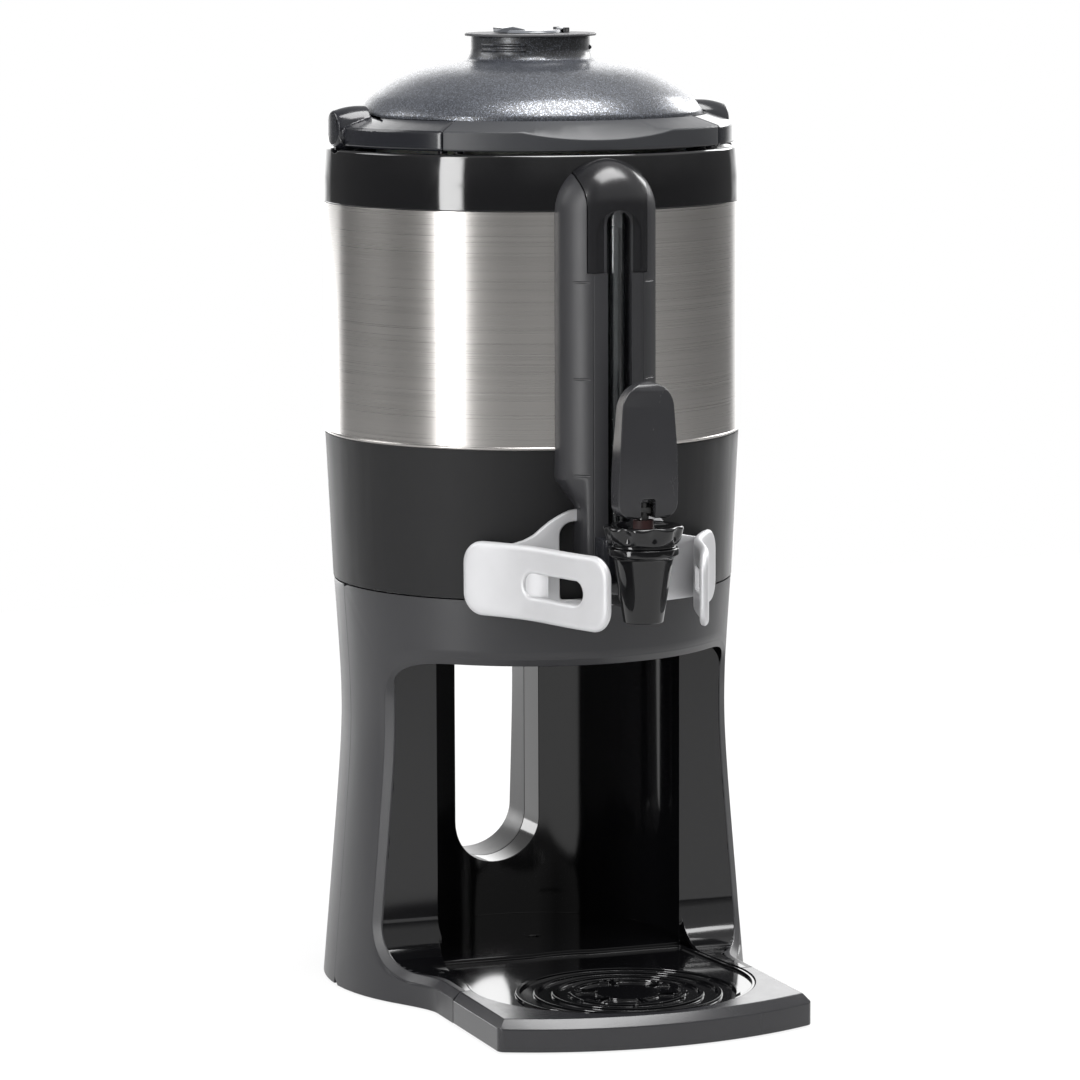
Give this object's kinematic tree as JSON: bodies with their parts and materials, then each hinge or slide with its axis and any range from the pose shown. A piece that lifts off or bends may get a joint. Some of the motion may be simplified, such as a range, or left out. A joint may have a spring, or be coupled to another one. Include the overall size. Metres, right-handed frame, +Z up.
{
  "type": "coffee urn",
  "caption": "Insulated coffee urn on its own stand: lever faucet between guard wings, sight gauge, brew-through domed lid, swing handle and a lift-out drip tray.",
  "frame": {"origin": "the urn's vertical axis at the surface that the stand rests on", "axes": "+Z up along the urn's axis, -Y out through the faucet and the drip tray, +X to the right as the user faces the faucet"},
  "size_m": [0.2434, 0.3366, 0.5434],
  "materials": {
    "shell_plastic": "satin charcoal moulding with a fine grain",
    "gloss_black": "polished black moulding",
    "handle_plastic": "satin black moulding",
    "lid_plastic": "satin charcoal moulding with a metallic flake",
    "jacket_steel": "brushed around the body",
    "vessel_steel": "drawn, smooth",
    "guard_metal": "satin, softly polished",
    "plated_steel": "bright zinc plate",
    "clear_tube": "clear, polished",
    "black_rubber": "matte",
    "red_rubber": "matte red",
    "silicone": "translucent, soft",
    "inner_plastic": "plain moulding"
  },
  "bodies": {
    "urn_and_stand": {"base_front_shell": "shell_plastic", "base_rear_shell": "shell_plastic", "bay_liner": "gloss_black", "bottom_plate": "inner_plastic", "rubber_feet": "black_rubber", "plate_screws": "plated_steel", "top_deck": "inner_plastic", "deck_screws": "plated_steel", "tray_frame": "shell_plastic", "bottom_cover": "inner_plastic", "lower_shroud": "gloss_black", "steel_jacket": "jacket_steel", "top_collar": "gloss_black", "rear_rim": "handle_plastic", "rim_screws": "plated_steel", "vessel_outer": "vessel_steel", "vessel_bottom": "vessel_steel", "vessel_wall": "vessel_steel", "vessel_shoulder": "vessel_steel", "vessel_seat": "silicone", "outlet_elbow": "vessel_steel", "faucet_shank": "vessel_steel", "shank_washer": "black_rubber", "shank_nut": "inner_plastic", "faucet_body": "gloss_black", "faucet_bonnet": "handle_plastic", "stem_seal": "red_rubber", "valve_spring": "plated_steel", "faucet_guard": "guard_metal", "guard_screws": "plated_steel", "gauge_housing": "handle_plastic", "gauge_cap": "gloss_black", "gauge_fitting": "handle_plastic", "sight_tube": "clear_tube", "tube_plug": "silicone", "pivot_pins": "plated_steel"},
    "lid": {"lid_dome": "lid_plastic", "lid_liner": "inner_plastic", "lid_gasket": "silicone", "brew_stem": "inner_plastic", "tube_grommet": "silicone", "flap_pin": "plated_steel"},
    "flap": {"stem_flap": "handle_plastic"},
    "handle": {"handle_arm_left": "handle_plastic", "handle_arm_right": "handle_plastic", "handle_grip": "handle_plastic", "grip_screws": "plated_steel"},
    "valve": {"valve_stem": "vessel_steel", "seat_cup": "silicone", "lever_pin": "plated_steel"},
    "lever": {"faucet_lever": "handle_plastic"},
    "tray": {"drip_tray": "gloss_black"}
  },
  "joints": [
    {"name": "handle_swing", "type": "hinge", "parent": "urn_and_stand", "child": "handle", "pos_m": [0, 0, 0.488], "axis": [-1, 0, 0], "range_deg": [0, 90]},
    {"name": "lid_lift", "type": "slide", "parent": "urn_and_stand", "child": "lid", "axis": [0, 0, 1], "range_m": [0, 0.32]},
    {"name": "flap_turn", "type": "hinge", "parent": "lid", "child": "flap", "pos_m": [0.0186, 0, 0.5412], "axis": [0, 1, 0], "range_deg": [0, 80]},
    {"name": "valve_rise", "type": "slide", "parent": "urn_and_stand", "child": "valve", "axis": [0, 0, 1], "range_m": [0, 0.0051], "deforming": ["valve_spring"]},
    {"name": "lever_pull", "type": "hinge", "parent": "valve", "child": "lever", "pos_m": [0, -0.1735, 0.288], "axis": [1, 0, 0], "range_deg": [0, 35], "stiffness_Nm_per_rad": 0.5},
    {"name": "tray_lift", "type": "slide", "parent": "urn_and_stand", "child": "tray", "axis": [0, 0, 1], "range_m": [0, 0.04]}
  ],
  "couplings": [
    {"joint": "valve_rise", "follows": "lever_pull", "m_per_rad": 0.0082}
  ]
}
